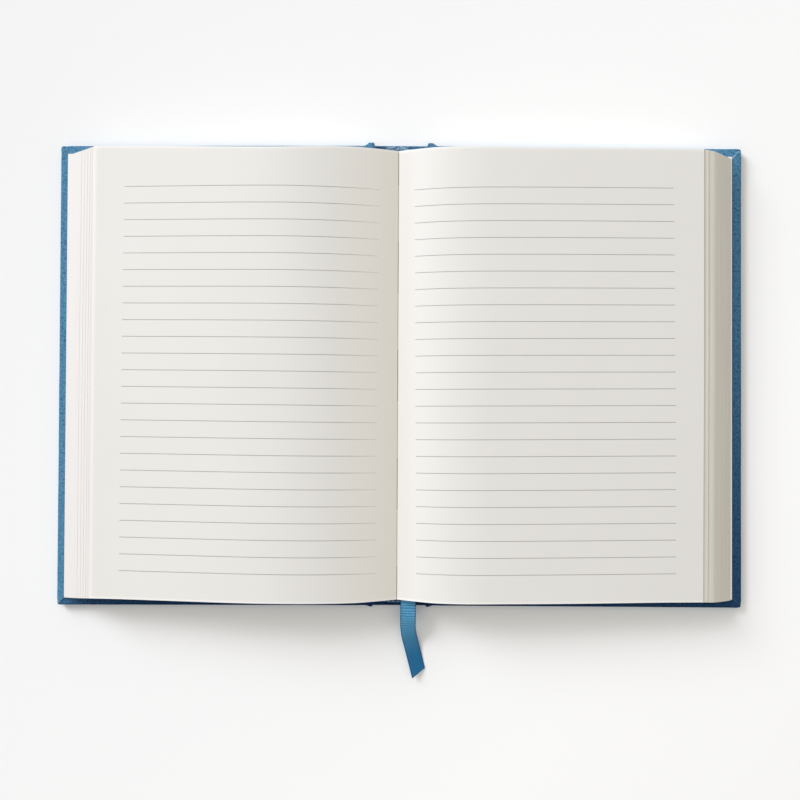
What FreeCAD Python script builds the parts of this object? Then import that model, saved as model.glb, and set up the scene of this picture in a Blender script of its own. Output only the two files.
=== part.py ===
import FreeCAD, Part
import math
import os

# An open case-bound notebook, lying face up on its back: cloth case, sewn text block, ribbon marker.
# X runs across the opening, Y towards the head of the page, Z up.
# The origin is on the table, under the middle of the spine. All sizes are in millimetres.

# Text block
page_width = 148.0
page_height = 210.0
block_back_half = 10.4
arch_rise = 2.85
gutter_x = -1.1
gutter_rise = 5.45

# Each side of the opening: stack at the fore-edge, hump, and how its leaves step back from the lowest one
left_stack = 8.15
left_hump_rise = 14.05
left_hump_run = 52.0
left_setback = 15.4
right_stack = 9.85
right_hump_rise = 13.05
right_hump_run = 42.0
right_setback = 18.1
right_knee_setback = 11.9
right_knee_drop = 1.5
gutter_tangent_run = 10.0
gutter_tangent_rise = 5.0
hump_tangent_run = 25.0
fore_edge_slope = 0.045

# Case
board_thickness = 2.5
spine_board_thickness = 2.0
spine_board_width = 24.0
joint_width = 5.0
head_square = 3.6
fore_square = 3.2
cloth = 0.4
turn_in = 15.0
corner_radius = 1.0
edge_round = 0.55
seam_width = 0.3
seam_depth = 0.25
tuck_radius = 1.4
tuck_out = 1.2

# Endpapers, lining and bands
paper = 0.15
flyleaf_inset = 1.0
lining = 0.2
lining_end_gap = 1.0
band_tape = 0.25
band_tape_length = 10.0
band_bead_rise = 0.9
band_bead_out = 1.2
band_end_inset = 0.3

# Sewing in the middle fold
stitch_diameter = 0.4
stitch_length = 25.0
stitch_pitch = 0.24 * page_height
stitch_count = 4

# Ribbon: its section, the leaves under it, its root behind the head band
# and how far past the foot of the page it starts to fall, turns aside, lands and ends
ribbon_width = 7.2
ribbon_thickness = 0.35
ribbon_x = 4.2
leaves_under_ribbon = 1.2
ribbon_root_length = 11.4
ribbon_root_bend = 1.4
ribbon_root_z = 4.475
ribbon_fall_past_foot = 7.0
ribbon_turn_past_foot = 15.5
ribbon_landing_past_foot = 25.0
ribbon_end_past_foot = 37.2
ribbon_end_drift = 5.5
ribbon_cut_angle = 18.0

# Clearances: between the case and the block, at each joint, and round the ribbon
case_clearance = 0.25
joint_clearance = 0.4
ribbon_clearance = 0.3
stitch_clearance = 0.02

# Levels and reaches worked out from the sizes above
inner_face_z = cloth + board_thickness + cloth
block_z = inner_face_z + paper + case_clearance + paper
block_reach = block_back_half + page_width
half_page = page_height / 2
spine_half = spine_board_width / 2
joint_x = spine_half + joint_width / 2
board_inner = spine_half + joint_width
board_outer = block_reach + fore_square
half_board = half_page + head_square
half_case = half_board + cloth
spine_inner_z = cloth + spine_board_thickness
arch_radius = (block_back_half ** 2 + arch_rise ** 2) / (2 * arch_rise)
arch_centre_z = block_z + arch_rise - arch_radius
arch_angle = math.asin(block_back_half / arch_radius)
gutter_z = block_z + gutter_rise
lining_half_length = min(half_page - band_tape_length, half_case - turn_in) - lining_end_gap
ribbon_z = block_z + arch_rise + leaves_under_ribbon + ribbon_clearance + ribbon_thickness / 2
ribbon_end_y = -half_page - ribbon_end_past_foot


def at(x, z, y=0.0):
    """A point of a cross-section, which lies in the XZ plane."""
    return FreeCAD.Vector(x, y, z)


def box(x0, x1, y0, y1, z0, z1):
    """A block between two corners, given as ranges along each axis."""
    low = FreeCAD.Vector(min(x0, x1), min(y0, y1), min(z0, z1))
    return Part.makeBox(abs(x1 - x0), abs(y1 - y0), abs(z1 - z0), low)


def line(a, b):
    return Part.makeLine(a, b)


def arc(a, middle, b):
    return Part.Arc(a, middle, b).toShape()


def bezier(*poles):
    curve = Part.BezierCurve()
    curve.setPoles(list(poles))
    return curve.toShape()


def prism(edges, y0, y1):
    """A cross-section in the XZ plane, drawn out along Y."""
    face = Part.Face(Part.Wire(edges))
    face.translate(FreeCAD.Vector(0, y0, 0))
    return face.extrude(FreeCAD.Vector(0, y1 - y0, 0))


def polygon(points):
    ring = points + [points[0]]
    return [line(a, b) for a, b in zip(ring, ring[1:])]


def on_arch(offset, angle):
    """A point beside the arched back of the block, offset outwards, at an angle from the vertical."""
    radius = arch_radius + offset
    return at(radius * math.sin(angle), arch_centre_z + radius * math.cos(angle))


def arch_band(inner_offset, outer_offset, angle, y0, y1):
    """A strip of even thickness that follows the arched back of the block."""
    low = [on_arch(inner_offset, a) for a in (-angle, 0.0, angle)]
    high = [on_arch(outer_offset, a) for a in (-angle, 0.0, angle)]
    edges = [arc(*low), line(low[2], high[2]), arc(*reversed(high)), line(high[0], low[0])]
    return prism(edges, y0, y1)


def page_surface(side, hump_run, hump_rise, stack, setback):
    """The curved top of one side of the opening, from the gutter over its hump to the top leaf's edge."""
    gutter = at(gutter_x, gutter_z)
    hump = at(gutter_x + side * hump_run, block_z + hump_rise)
    edge = at(side * (block_reach - setback), block_z + stack)
    rise = bezier(
        gutter,
        at(gutter_x + side * gutter_tangent_run, gutter_z + gutter_tangent_rise),
        at(hump.x - side * hump_tangent_run, hump.z),
        hump,
    )
    fall = bezier(
        hump,
        at(hump.x + side * hump_tangent_run, hump.z),
        at(edge.x - side * hump_tangent_run, edge.z + fore_edge_slope * hump_tangent_run),
        edge,
    )
    return rise, fall, edge


def make_pages():
    """The leaves as one solid: arched over the hollow of the spine, humped on each side of the gutter."""
    left_rise, left_fall, left_edge = page_surface(
        -1, left_hump_run, left_hump_rise, left_stack, left_setback)
    right_rise, right_fall, right_edge = page_surface(
        1, right_hump_run, right_hump_rise, right_stack, right_setback)
    knee = at(block_reach - right_knee_setback, right_edge.z - right_knee_drop)
    left_foot = at(-block_reach, block_z)
    right_foot = at(block_reach, block_z)
    back = [on_arch(0.0, a) for a in (-arch_angle, 0.0, arch_angle)]
    edges = [
        line(left_foot, left_edge),
        left_fall,
        left_rise,
        right_rise,
        right_fall,
        line(right_edge, knee),
        line(knee, right_foot),
        line(right_foot, back[2]),
        arc(*back),
        line(back[0], left_foot),
    ]
    block = prism(Part.__sortEdges__(edges), -half_page, half_page)
    slot_x = ribbon_width / 2 + ribbon_clearance
    slot_z = ribbon_thickness / 2 + ribbon_clearance
    slot = box(ribbon_x - slot_x, ribbon_x + slot_x, -half_page - 1, half_page + 1,
               ribbon_z - slot_z, ribbon_z + slot_z)
    return block.cut(slot)


def make_flyleaf(side):
    start = side * (block_back_half + flyleaf_inset)
    return box(start, side * block_reach, -half_page, half_page, block_z - paper, block_z)


def make_board(side):
    board = box(side * board_inner, side * board_outer, -half_board, half_board,
                cloth, cloth + board_thickness)
    return round_upright_edges(board, side * board_outer, half_board, corner_radius - cloth)


def round_upright_edges(shape, x, half_length, radius):
    """Rounds the two upright edges of a plate that stand at one fore-edge."""
    upright = []
    for edge in shape.Edges:
        centre = edge.CenterOfMass
        is_upright = abs(edge.tangentAt(edge.FirstParameter).z) > 0.99
        if is_upright and abs(centre.x - x) < 0.01 and abs(abs(centre.y) - half_length) < 0.01:
            upright.append(edge)
    return shape.makeFillet(radius, upright)


def round_outer_edges(shape, x, half_length, top_z):
    """Rounds the long edges of a covered board, under it and above it, where the cloth goes round."""
    outer = []
    for edge in shape.Edges:
        box_of_edge = edge.BoundBox
        is_level = box_of_edge.ZLength < 0.01
        at_level = abs(box_of_edge.ZMin) < 0.01 or abs(box_of_edge.ZMin - top_z) < 0.01
        centre = edge.CenterOfMass
        at_end = abs(abs(centre.y) - half_length) < corner_radius and box_of_edge.YLength < 2 * corner_radius
        at_fore_edge = abs(centre.x - x) < corner_radius and abs(centre.y) < half_length
        if is_level and at_level and (at_end or at_fore_edge):
            outer.append(edge)
    return shape.makeFillet(edge_round, outer)


def make_tuck(x0, x1, end):
    """The small roll of turned-in cloth at an end of a joint, where no board pulls it flat."""
    y = end * (half_case + tuck_out - tuck_radius)
    base = FreeCAD.Vector(min(x0, x1), y, tuck_radius)
    return Part.makeCylinder(tuck_radius, abs(x1 - x0), base, FreeCAD.Vector(1, 0, 0))


def make_seam(side, end):
    """The groove where two turn-ins meet in a mitre, from near the corner of the board inwards."""
    depth_above = 1.0
    start = corner_radius * (math.sqrt(2) - 1) + edge_round + seam_width
    end_past_window = turn_in * math.sqrt(2) + seam_width
    low = FreeCAD.Vector(start, -seam_width / 2, inner_face_z - seam_depth)
    groove = Part.makeBox(end_past_window - start, seam_width, seam_depth + depth_above, low)
    groove.rotate(FreeCAD.Vector(), FreeCAD.Vector(0, 0, 1), math.degrees(math.atan2(-end, -side)))
    groove.translate(FreeCAD.Vector(side * (board_outer + cloth), end * half_case, 0))
    return groove


def make_cover_cloth(side):
    """Cloth round one board: the outside, three turn-ins and its half of the joint."""
    joint_edge = side * (joint_x + joint_clearance / 2)
    wall = side * (board_inner - cloth)
    fore_edge = side * (board_outer + cloth)
    plate = box(wall, fore_edge, -half_case, half_case, 0, inner_face_z)
    plate = round_upright_edges(plate, fore_edge, half_case, corner_radius)
    plate = round_outer_edges(plate, fore_edge, half_case, inner_face_z)
    inside = half_case - turn_in
    window_edge = side * (board_outer + cloth - turn_in)
    window = box(wall - side, window_edge, -inside, inside, cloth, inner_face_z + 1)
    cloth_solid = plate.cut(window).cut(make_board(side))
    outside = box(joint_edge, side * board_inner, -half_case, half_case, 0, cloth)
    cloth_solid = cloth_solid.fuse(outside)
    for end in (-1, 1):
        folded = box(joint_edge, wall, end * inside, end * half_case, cloth, 2 * cloth)
        tuck = make_tuck(joint_edge, side * (board_inner - edge_round), end)
        cloth_solid = cloth_solid.fuse([folded, tuck]).cut(make_seam(side, end))
    return cloth_solid.removeSplitter()


def make_spine_board():
    return box(-spine_half, spine_half, -half_board, half_board, cloth, spine_inner_z)


def make_spine_cloth():
    """Cloth under the spine board, turned in at head and foot, with its half of each joint."""
    joint_edge = joint_x - joint_clearance / 2
    wall = spine_half + cloth
    inside = half_case - turn_in
    cloth_solid = box(-joint_edge, joint_edge, -half_case, half_case, 0, cloth)
    for end in (-1, 1):
        over_board = box(-wall, wall, end * inside, end * half_case, 0, spine_inner_z + cloth)
        over_joint = box(-joint_edge, joint_edge, end * inside, end * half_case, 0, 2 * cloth)
        tucks = [make_tuck(side * wall, side * joint_edge, end) for side in (-1, 1)]
        cloth_solid = cloth_solid.fuse([over_board, over_joint] + tucks)
    return cloth_solid.cut(make_spine_board()).removeSplitter()


def make_pastedown(side):
    """The glued half of an endpaper: it steps up from the board onto the turn-ins."""
    inside = half_case - turn_in
    window_edge = board_outer + cloth - turn_in
    board_top = cloth + board_thickness
    sheet = box(side * board_inner, side * block_reach, -half_page, half_page,
                board_top, inner_face_z + paper)
    turn_ins = box(side * (board_inner - 1), side * (block_reach + 1), -half_page - 1, half_page + 1,
                   board_top, inner_face_z)
    window = box(side * (board_inner - 2), side * window_edge, -inside, inside,
                 board_top, inner_face_z)
    well = box(side * (board_inner - 2), side * (window_edge - paper), -inside + paper, inside - paper,
               board_top + paper, inner_face_z + paper + 1)
    return sheet.cut(turn_ins.cut(window)).cut(well)


def make_spine_lining():
    """Open-weave lining glued to the arched back, with a flap down to the cloth of each joint."""
    flap_x = spine_half + cloth + lining
    flap_top = block_z - paper - 2 * lining
    foot_x = joint_x - joint_clearance / 2
    strip = arch_band(-lining, 0.0, arch_angle, -lining_half_length, lining_half_length)
    for side in (-1, 1):
        back = on_arch(0.0, side * arch_angle)
        under = on_arch(-lining, side * arch_angle)
        outline = [
            back,
            at(side * (flap_x + lining), flap_top),
            at(side * (flap_x + lining), cloth + lining),
            at(side * foot_x, cloth + lining),
            at(side * foot_x, cloth),
            at(side * flap_x, cloth),
            at(side * flap_x, flap_top - lining),
            under,
        ]
        flap = prism(polygon(outline), -lining_half_length, lining_half_length)
        strip = strip.fuse(flap)
    return strip.removeSplitter()


def make_band(end):
    """Head or tail band: a tape glued to the back of the block, with its bead past the ends of the leaves."""
    angle = math.asin((block_back_half - band_end_inset) / arch_radius)
    page_end = end * half_page
    tape = arch_band(-band_tape, 0.0, angle, page_end - end * band_tape_length, page_end)
    bead = arch_band(-band_tape, band_bead_rise, angle, page_end, page_end + end * band_bead_out)
    return tape.fuse(bead).removeSplitter()


def make_stitch(number):
    """One length of thread lying in the crease of the middle fold."""
    half_opening = math.atan2(gutter_tangent_run, gutter_tangent_rise)
    radius = stitch_diameter / 2
    middle_y = (number - (stitch_count - 1) / 2) * stitch_pitch
    base = at(gutter_x, gutter_z + radius / math.sin(half_opening) + stitch_clearance,
              middle_y - stitch_length / 2)
    return Part.makeCylinder(radius, stitch_length, base, FreeCAD.Vector(0, 1, 0))


def bend_radius(before, corner, after):
    """The arc that suits a bend: 0.45 of the shorter run over the tangent of half the turn."""
    first = corner - before
    second = after - corner
    half_turn = first.getAngle(second) / 2
    return 0.45 * min(first.Length, second.Length) / math.tan(half_turn)


def strip_face(points, radii, width, across, cut_angle=0.0):
    """A flat strip of even width along straight runs joined by tangent arcs, and its centreline's length."""
    half = width / 2
    sides = {-1: [], 1: []}
    last = {}
    starts = {}
    direction = (points[1] - points[0]).normalize()
    for side in sides:
        last[side] = points[0] + direction.cross(across) * (side * half)
        starts[side] = last[side]
    length = 0.0
    here = points[0]
    for before, corner, after, radius in zip(points, points[1:], points[2:], radii):
        first = (corner - before).normalize()
        second = (after - corner).normalize()
        turn = first.getAngle(second)
        tangent = radius * math.tan(turn / 2)
        enter = corner - first * tangent
        leave = corner + second * tangent
        inward = (second - first).normalize()
        centre = corner + inward * (radius / math.cos(turn / 2))
        for side, edges in sides.items():
            start = enter + first.cross(across) * (side * half)
            end = leave + second.cross(across) * (side * half)
            middle = centre - inward * (start - centre).Length
            edges.append(line(last[side], start))
            edges.append(arc(start, middle, end))
            last[side] = end
        length += (enter - here).Length + radius * turn
        here = leave
    final = (points[-1] - points[-2]).normalize()
    for side, edges in sides.items():
        shift = final * (side * half * math.tan(math.radians(cut_angle)))
        end = points[-1] + final.cross(across) * (side * half) + shift
        edges.append(line(last[side], end))
        last[side] = end
    length += (points[-1] - here).Length
    edges = sides[-1] + sides[1] + [line(last[-1], last[1]), line(starts[-1], starts[1])]
    return Part.Face(Part.Wire(Part.__sortEdges__(edges))), length


def make_ribbon():
    """Flat ribbon: glued behind the head band, over it, down between the leaves and out onto the table."""
    root_y = half_page + band_bead_out + ribbon_clearance + ribbon_thickness / 2
    table_z = ribbon_thickness / 2
    side_points = [
        at(0, ribbon_root_z, root_y - ribbon_root_length),
        at(0, ribbon_root_z, root_y),
        at(0, ribbon_z, root_y),
        at(0, ribbon_z, -half_page - ribbon_fall_past_foot),
        at(0, table_z, -half_page - ribbon_landing_past_foot),
        at(0, table_z, ribbon_end_y - ribbon_width),
    ]
    side_radii = [ribbon_root_bend, ribbon_root_bend,
                  bend_radius(*side_points[2:5]), bend_radius(*side_points[3:6])]
    side_face, side_length = strip_face(
        side_points, side_radii, ribbon_thickness, FreeCAD.Vector(1, 0, 0))
    side_face.translate(FreeCAD.Vector(ribbon_x - 2 * ribbon_width, 0, 0))
    climb = side_face.extrude(FreeCAD.Vector(5 * ribbon_width, 0, 0))
    plan_points = [
        FreeCAD.Vector(ribbon_x, root_y + ribbon_thickness, 0),
        FreeCAD.Vector(ribbon_x, -half_page - ribbon_turn_past_foot, 0),
        FreeCAD.Vector(ribbon_x + ribbon_end_drift, ribbon_end_y, 0),
    ]
    plan_radii = [bend_radius(*plan_points)]
    plan_face, plan_length = strip_face(
        plan_points, plan_radii, ribbon_width, FreeCAD.Vector(0, 0, 1), ribbon_cut_angle)
    plan_face.translate(FreeCAD.Vector(0, 0, -1))
    outline = plan_face.extrude(FreeCAD.Vector(0, 0, ribbon_z + 5))
    ribbon = climb.common(outline)
    drift = plan_length - (plan_points[0].y - plan_points[-1].y)
    length = side_length - ribbon_width + drift
    print("ribbon bends", [round(radius, 1) for radius in side_radii + plan_radii])
    print("ribbon length %.1f, volume %.2f, section times length %.2f"
          % (length, ribbon.Volume, length * ribbon_width * ribbon_thickness))
    return ribbon


def make_nodes():
    nodes = {
        "pages": make_pages(),
        "spine_board": make_spine_board(),
        "spine_cloth": make_spine_cloth(),
        "spine_lining": make_spine_lining(),
        "head_band": make_band(1),
        "tail_band": make_band(-1),
        "ribbon_marker": make_ribbon(),
    }
    for name, side in (("front", -1), ("back", 1)):
        nodes[name + "_flyleaf"] = make_flyleaf(side)
        nodes[name + "_board"] = make_board(side)
        nodes[name + "_cover_cloth"] = make_cover_cloth(side)
        nodes[name + "_pastedown"] = make_pastedown(side)
    for number in range(stitch_count):
        nodes["stitch_%d" % (number + 1)] = make_stitch(number)
    return nodes


os.makedirs("parts", exist_ok=True)
for node, shape in make_nodes().items():
    solids = len(shape.Solids)
    print(node, "valid" if shape.isValid() else "NOT VALID", solids, round(shape.Volume, 2))
    shape.exportStep("parts/%s.step" % node)
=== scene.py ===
import bpy
import bmesh
import math
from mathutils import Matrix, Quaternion, Vector, noise
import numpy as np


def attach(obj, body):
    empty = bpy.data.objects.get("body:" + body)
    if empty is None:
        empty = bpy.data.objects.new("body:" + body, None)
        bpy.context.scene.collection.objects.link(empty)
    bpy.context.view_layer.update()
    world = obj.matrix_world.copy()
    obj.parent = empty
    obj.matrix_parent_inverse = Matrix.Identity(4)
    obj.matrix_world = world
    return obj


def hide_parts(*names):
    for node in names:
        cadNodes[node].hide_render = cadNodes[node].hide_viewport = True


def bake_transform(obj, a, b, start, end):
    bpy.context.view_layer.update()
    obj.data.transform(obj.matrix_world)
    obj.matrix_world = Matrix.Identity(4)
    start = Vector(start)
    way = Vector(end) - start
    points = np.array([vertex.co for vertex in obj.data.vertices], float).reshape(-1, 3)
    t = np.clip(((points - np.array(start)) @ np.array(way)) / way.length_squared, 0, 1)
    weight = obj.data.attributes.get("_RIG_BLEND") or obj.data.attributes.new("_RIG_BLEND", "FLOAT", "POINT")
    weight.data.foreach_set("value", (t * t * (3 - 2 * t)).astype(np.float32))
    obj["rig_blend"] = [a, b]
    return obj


# Open cloth-bound notebook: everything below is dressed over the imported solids.
# Sizes in the dictionaries are in millimetres unless a note says otherwise.
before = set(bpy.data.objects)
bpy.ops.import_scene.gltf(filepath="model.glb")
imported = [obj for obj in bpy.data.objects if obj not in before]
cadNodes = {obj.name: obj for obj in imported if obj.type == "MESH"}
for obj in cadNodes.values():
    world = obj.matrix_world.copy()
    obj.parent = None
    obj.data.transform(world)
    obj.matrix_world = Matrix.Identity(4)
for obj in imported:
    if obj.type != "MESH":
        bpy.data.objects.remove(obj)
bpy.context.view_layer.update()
mm = 0.001
print("frame loaded,", len(cadNodes), "nodes")


# Node trees

class Tree:
    # Adds nodes to one tree; a value may be a number, a color or the socket of another node
    def __init__(self, tree):
        self.tree = tree

    def plug(self, value, socket):
        if isinstance(value, bpy.types.NodeSocket):
            self.tree.links.new(value, socket)
        elif socket.type == "RGBA":
            socket.default_value = tuple(value) + (1.0,)
        else:
            socket.default_value = value

    def step(self, kind, settings=None, **values):
        # One node; each value goes to the input of that name, with _ for a space
        node = self.tree.nodes.new(kind)
        for key, value in (settings or {}).items():
            setattr(node, key, value)
        for label, value in values.items():
            self.plug(value, node.inputs[label.replace("_", " ")])
        return node

    def fill(self, node, *values):
        for value, socket in zip(values, node.inputs):
            self.plug(value, socket)
        return node.outputs[0]

    def calc(self, operation, *values, clamp=False):
        return self.fill(self.step("ShaderNodeMath", {"operation": operation, "use_clamp": clamp}), *values)

    def plus(self, a, b):
        return self.calc("ADD", a, b)

    def minus(self, a, b):
        return self.calc("SUBTRACT", a, b)

    def times(self, a, b):
        return self.calc("MULTIPLY", a, b)

    def over(self, a, b):
        return self.calc("DIVIDE", a, b)

    def timesPlus(self, a, b, c):
        return self.calc("MULTIPLY_ADD", a, b, c)

    def absolute(self, a):
        return self.calc("ABSOLUTE", a)

    def ribs(self, a):
        # Rounded ribs, one for each whole number
        return self.absolute(self.calc("SINE", self.times(a, math.pi)))

    def remap(self, value, fromLow, fromHigh, toLow=0.0, toHigh=1.0, smooth=False):
        node = self.step("ShaderNodeMapRange", {"interpolation_type": "SMOOTHSTEP" if smooth else "LINEAR"})
        return self.fill(node, value, fromLow, fromHigh, toLow, toHigh)

    def mix(self, factor, a, b, blend="MIX"):
        node = self.step("ShaderNodeMix", {"data_type": "RGBA", "blend_type": blend})
        for value, index in ((factor, 0), (a, 6), (b, 7)):
            self.plug(value, node.inputs[index])
        return node.outputs[2]

    def mixShader(self, factor, a, b):
        return self.fill(self.step("ShaderNodeMixShader"), factor, a.outputs[0], b.outputs[0])

    def noise(self, place, scale, detail=3.0, roughness=0.5, turn=0.0):
        # The scale is one number, or one for each direction
        if isinstance(scale, tuple):
            place = self.step("ShaderNodeMapping", Scale=scale, Rotation=(0.0, 0.0, turn), Vector=place).outputs[0]
            scale = 1.0
        node = self.step("ShaderNodeTexNoise", Scale=scale, Detail=detail, Roughness=roughness, Vector=place)
        return node.outputs["Fac"]

    def coordinates(self, kind="Object"):
        return self.step("ShaderNodeTexCoord").outputs[kind]

    def surface(self, name):
        return self.step("ShaderNodeUVMap", {"uv_map": name}).outputs[0]

    def mark(self, name):
        return self.step("ShaderNodeAttribute", {"attribute_name": name}).outputs["Fac"]

    def split(self, vector):
        return self.step("ShaderNodeSeparateXYZ", Vector=vector).outputs

    def place(self, group, **values):
        return self.step("ShaderNodeGroup", {"node_tree": group}, **values).outputs


class Finish(Tree):
    # A material with one principled shader
    def __init__(self, name):
        self.material = bpy.data.materials.new(name)
        self.material.use_nodes = True
        super().__init__(self.material.node_tree)
        self.tree.nodes.clear()
        self.shader = self.step("ShaderNodeBsdfPrincipled")
        self.out = self.step("ShaderNodeOutputMaterial", Surface=self.shader.outputs[0])

    def done(self, color, roughness, specular=0.5, height=None, relief=0.0, strength=1.0):
        given = {"Base Color": color, "Roughness": roughness, "Specular IOR Level": specular}
        if height is not None:
            bump = self.step("ShaderNodeBump", Distance=relief * mm, Strength=strength, Height=height)
            given["Normal"] = bump.outputs[0]
        for label, value in given.items():
            self.plug(value, self.shader.inputs[label])
        return self.material


class Group(Tree):
    # A node group with inputs (label, kind, default) and outputs (label, kind)
    def __init__(self, name, kind, inputs, outputs):
        super().__init__(bpy.data.node_groups.new(name, kind))
        sockets = self.tree.interface
        for label, socketKind, default in inputs:
            socket = sockets.new_socket(name=label, in_out="INPUT", socket_type="NodeSocket" + socketKind)
            if default is not None:
                socket.default_value = default
        for label, socketKind in outputs:
            sockets.new_socket(name=label, in_out="OUTPUT", socket_type="NodeSocket" + socketKind)
        self.given = self.step("NodeGroupInput").outputs
        self.put = self.step("NodeGroupOutput").inputs

    def done(self, **values):
        for label, value in values.items():
            self.plug(value, self.put[label])
        return self.tree


def addObject(name, data):
    added = bpy.data.objects.new(name, data)
    bpy.context.scene.collection.objects.link(added)
    return added


# Camera, light and floor

cameraView = {
    "place": (0.0, -15.4, 372.4),
    "tilt": 0.630,  # degrees, lens leaning towards the head
    "roll": 0.266,  # degrees
    "lens": 35.0,
    "sensor": 36.0,
    "clipStart": 10.0,
}

studio = {
    "keyFrom": (-1.0, 0.86, 0.62),  # direction towards the key light
    "keyDistance": 3000.0,
    "keySize": 1300.0,
    "keyLevel": 0.38,  # share of the light on a level surface
    "keyColor": (0.965, 1.0, 1.08),
    "skyLevel": 0.62,
    "skyTilt": (-0.42, 0.44, 0.0),  # how much brighter the sky is towards the window
    "skyColor": (1.025, 1.0, 0.95),
    "floorColor": (0.96, 0.96, 0.96),
    "floorRough": 0.9,
    "floorDrift": (0.34, -0.27),  # per metre, against the key light's fall-off
    "floorNear": 0.45,  # share of the floor's colour that is left close to the key light
    "floorFar": 1.07,  # and far from it
    "floorHalf": 4000.0,
    "openHalf": (161.2, 107.8),
}


def makeCamera(view):
    data = bpy.data.cameras.new("notebookCamera")
    data.lens = view["lens"]
    data.sensor_width = view["sensor"]
    data.clip_start = view["clipStart"] * mm
    camera = addObject("notebookCamera", data)
    camera.location = Vector(view["place"]) * mm
    camera.rotation_euler = (math.radians(view["tilt"]), 0.0, math.radians(view["roll"]))
    bpy.context.scene.camera = camera


def makeKey(look):
    toKey = Vector(look["keyFrom"]).normalized()
    distance = look["keyDistance"] * mm
    light = bpy.data.lights.new("windowKey", "AREA")
    light.energy = look["keyLevel"] * math.pi ** 2 * distance ** 2 / toKey.z
    light.size = look["keySize"] * mm
    light.color = look["keyColor"]
    key = addObject("windowKey", light)
    key.location = toKey * distance
    key.rotation_mode = "QUATERNION"
    key.rotation_quaternion = toKey.to_track_quat("Z", "Y")


def makeSky(look):
    world = bpy.data.worlds.new("paleRoom")
    bpy.context.scene.world = world
    world.use_nodes = True
    t = Tree(world.node_tree)
    t.tree.nodes.clear()
    toward = t.step("ShaderNodeVectorMath", {"operation": "DOT_PRODUCT"})
    t.fill(toward, t.coordinates("Generated"), look["skyTilt"])
    strength = t.timesPlus(toward.outputs["Value"], look["skyLevel"], look["skyLevel"])
    sky = t.step("ShaderNodeBackground", Color=look["skyColor"], Strength=strength)
    backdrop = t.step("ShaderNodeBackground", Color=look["floorColor"], Strength=1.0)
    ray = t.step("ShaderNodeLightPath").outputs
    seen = t.plus(ray["Is Camera Ray"], ray["Is Glossy Ray"])
    seen = t.calc("ADD", seen, ray["Is Transmission Ray"], clamp=True)
    t.step("ShaderNodeOutputWorld", Surface=t.mixShader(seen, sky, backdrop))


def makeFloor(look):
    # Open under the case and clear from below, so that the underside can be looked at too
    corners = []
    for halfX, halfY in ((look["floorHalf"], look["floorHalf"]), look["openHalf"]):
        corners += [(x * halfX * mm, y * halfY * mm, 0.0) for x, y in ((-1, -1), (1, -1), (1, 1), (-1, 1))]
    mesh = bpy.data.meshes.new("paleFloor")
    mesh.from_pydata(corners, [], [(i, (i + 1) % 4, (i + 1) % 4 + 4, i + 4) for i in range(4)])
    t = Finish("paleFloor")
    x, y, z = t.split(t.coordinates())
    driftX, driftY = look["floorDrift"]
    drift = t.timesPlus(y, driftY, t.timesPlus(x, driftX, 1.0))
    drift = t.calc("MINIMUM", t.calc("MAXIMUM", drift, look["floorNear"]), look["floorFar"])
    tint = t.step("ShaderNodeVectorMath", {"operation": "SCALE"}, Scale=drift)
    mesh.materials.append(t.done(t.fill(tint, look["floorColor"]), look["floorRough"], 0.0))
    below = t.step("ShaderNodeNewGeometry").outputs["Backfacing"]
    oneWay = t.mixShader(below, t.shader, t.step("ShaderNodeBsdfTransparent"))
    t.plug(oneWay, t.out.inputs["Surface"])
    addObject("paleFloor", mesh)


bpy.context.scene.view_settings.view_transform = "Standard"
makeCamera(cameraView)
makeKey(studio)
makeSky(studio)
makeFloor(studio)
print("camera, light and floor set")


# Effects that several finishes share

def makeWeaveGroup():
    # Plain weave: two sets of threads that pass over and under each other
    t = Group("plainWeave", "ShaderNodeTree",
              [("Place", "Vector", None), ("Pitch", "Float", 0.0005), ("Unevenness", "Float", 0.3)],
              [("Height", "Float"), ("Gap", "Float"), ("Slub", "Float")])
    place = t.given["Place"]
    x, y, z = t.split(place)
    wander = t.times(t.minus(t.noise(place, (260.0, 260.0, 260.0), 2.0), 0.5), t.given["Unevenness"])
    u, v = [t.plus(t.over(value, t.given["Pitch"]), wander) for value in (x, y)]
    acrossU, acrossV = t.ribs(u), t.ribs(v)
    over = t.calc("MODULO", t.absolute(t.plus(t.calc("FLOOR", u), t.calc("FLOOR", v))), 2.0)
    warp = t.times(acrossU, t.timesPlus(acrossV, 0.5, 0.5))
    weft = t.times(acrossV, t.timesPlus(acrossU, 0.5, 0.5))
    slubs = t.plus(t.noise(place, (2600.0, 90.0, 600.0), 2.0), t.noise(place, (90.0, 2600.0, 600.0), 2.0))
    return t.done(
        Height=t.remap(over, 0.0, 1.0, warp, weft),
        Gap=t.remap(t.calc("MAXIMUM", acrossU, acrossV), 0.25, 0.6, 1.0, 0.0),
        Slub=t.calc("MULTIPLY_ADD", slubs, 1.6, -1.1, clamp=True))


def makeFibreGroup():
    # Paper: fine tooth, short fibres and a slow cloudiness
    t = Group("paperFibre", "ShaderNodeTree", [("Place", "Vector", None)],
              [("Tooth", "Float"), ("Fibre", "Float"), ("Cloud", "Float")])
    place = t.given["Place"]
    return t.done(
        Tooth=t.noise(place, 2600.0, 3.0, 0.6),
        Fibre=t.noise(place, (420.0, 2100.0, 900.0), 4.0, 0.7, turn=0.5),
        Cloud=t.noise(place, 38.0, 3.0, 0.55))


def makeLeafEdgeGroup():
    # The cut edges of many leaves: fine lines along the leaves, some standing out more than others
    t = Group("leafEdges", "ShaderNodeTree", [("Place", "Vector", None)], [("Line", "Float"), ("Section", "Float")])
    fine = t.noise(t.given["Place"], (14.0, 7400.0, 0.0), 2.0, 0.6)
    coarse = t.noise(t.given["Place"], (6.0, 1500.0, 0.0), 2.0, 0.5)
    return t.done(Line=t.remap(fine, 0.3, 0.7), Section=t.remap(coarse, 0.35, 0.7))


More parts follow.
